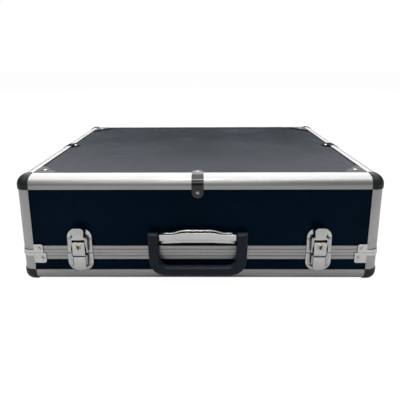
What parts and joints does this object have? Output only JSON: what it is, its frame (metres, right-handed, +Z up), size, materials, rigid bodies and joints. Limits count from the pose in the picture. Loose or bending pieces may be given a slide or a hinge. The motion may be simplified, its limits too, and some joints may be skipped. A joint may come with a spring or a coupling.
{
  "type": "attache case",
  "caption": "Hard attache case with aluminium edge rails, dark laminate panels, a swinging bail handle, keyed draw latches and a rear hinge between a deep and a shallow half.",
  "frame": {"origin": "on the surface the case rests on, at the middle of its footprint, with the shallow half underneath", "axes": "+X to the right seen from the front, -Y to the front with the handle and latches, +Z up"},
  "size_m": [0.4614, 0.351, 0.144],
  "materials": {
    "laminate": "smooth dark navy laminate on a fibre board",
    "satin_aluminium": "satin anodised extrusion",
    "corner_plastic": "black moulded plastic with a slight sheen",
    "chrome_plate": "bright plated pressed steel",
    "plug_brass": "turned brass key plug",
    "handle_plastic": "blue-black moulded plastic",
    "foot_rubber": "black rubber",
    "lining": "dark flocked lining"
  },
  "bodies": {
    "shallow_half": {"lower_face_panel": "laminate", "lower_front_panel": "laminate", "lower_rear_panel": "laminate", "lower_left_panel": "laminate", "lower_right_panel": "laminate", "lower_front_rail": "satin_aluminium", "lower_rear_rail": "satin_aluminium", "lower_left_rail": "satin_aluminium", "lower_right_rail": "satin_aluminium", "lower_posts": "satin_aluminium", "lower_seam_ring": "satin_aluminium", "lower_lining": "lining", "lower_cap_front_left": "corner_plastic", "lower_cap_front_right": "corner_plastic", "lower_cap_rear_left": "corner_plastic", "lower_cap_rear_right": "corner_plastic", "lower_seam_corners": "chrome_plate", "lower_rivets": "chrome_plate", "lower_feet": "foot_rubber", "hinge_left_lower_leaf": "chrome_plate", "hinge_right_lower_leaf": "chrome_plate", "hinge_pins": "chrome_plate", "latch_left_catch": "chrome_plate", "latch_right_catch": "chrome_plate"},
    "deep_half": {"upper_face_panel": "laminate", "upper_front_panel": "laminate", "upper_rear_panel": "laminate", "upper_left_panel": "laminate", "upper_right_panel": "laminate", "upper_front_rail": "satin_aluminium", "upper_rear_rail": "satin_aluminium", "upper_left_rail": "satin_aluminium", "upper_right_rail": "satin_aluminium", "upper_posts": "satin_aluminium", "upper_seam_ring": "satin_aluminium", "upper_lining": "lining", "upper_cap_front_left": "corner_plastic", "upper_cap_front_right": "corner_plastic", "upper_cap_rear_left": "corner_plastic", "upper_cap_rear_right": "corner_plastic", "upper_seam_corners": "chrome_plate", "rail_clips": "chrome_plate", "upper_rivets": "chrome_plate", "upper_feet": "foot_rubber", "hinge_left_upper_leaf": "chrome_plate", "hinge_right_upper_leaf": "chrome_plate", "latch_left_base": "chrome_plate", "latch_right_base": "chrome_plate", "handle_plate": "chrome_plate", "handle_housing": "chrome_plate", "handle_pins": "chrome_plate"},
    "handle": {"handle_bail": "handle_plastic"},
    "lever_left": {"latch_left_lever": "chrome_plate"},
    "hook_left": {"latch_left_hook": "chrome_plate"},
    "plug_left": {"latch_left_plug": "plug_brass"},
    "lever_right": {"latch_right_lever": "chrome_plate"},
    "hook_right": {"latch_right_hook": "chrome_plate"},
    "plug_right": {"latch_right_plug": "plug_brass"}
  },
  "joints": [
    {"name": "case_hinge", "type": "hinge", "parent": "shallow_half", "child": "deep_half", "pos_m": [0, 0.1685, 0.04165], "axis": [-1, 0, 0], "range_deg": [0, 95]},
    {"name": "handle_swing", "type": "hinge", "parent": "deep_half", "child": "handle", "pos_m": [-0.0025, -0.1704, 0.067], "axis": [-1, 0, 0], "range_deg": [0, 95]},
    {"name": "lever_left_turn", "type": "hinge", "parent": "deep_half", "child": "lever_left", "pos_m": [-0.1527, -0.1672, 0.05165], "axis": [1, 0, 0], "range_deg": [0, 90]},
    {"name": "hook_left_swing", "type": "hinge", "parent": "lever_left", "child": "hook_left", "pos_m": [-0.1527, -0.1684, 0.05725], "axis": [1, 0, 0], "range_deg": [-108, 0]},
    {"name": "plug_left_turn", "type": "hinge", "parent": "hook_left", "child": "plug_left", "pos_m": [-0.1527, -0.1708, 0.05265], "axis": [0, 1, 0], "range_deg": [0, 90]},
    {"name": "lever_right_turn", "type": "hinge", "parent": "deep_half", "child": "lever_right", "pos_m": [0.1509, -0.1672, 0.05165], "axis": [1, 0, 0], "range_deg": [0, 90]},
    {"name": "hook_right_swing", "type": "hinge", "parent": "lever_right", "child": "hook_right", "pos_m": [0.1509, -0.1684, 0.05725], "axis": [1, 0, 0], "range_deg": [-108, 0]},
    {"name": "plug_right_turn", "type": "hinge", "parent": "hook_right", "child": "plug_right", "pos_m": [0.1509, -0.1708, 0.05265], "axis": [0, 1, 0], "range_deg": [0, 90]}
  ],
  "couplings": [
    {"joint": "hook_left_swing", "follows": "lever_left_turn", "ratio": -1.2},
    {"joint": "hook_right_swing", "follows": "lever_right_turn", "ratio": -1.2}
  ]
}
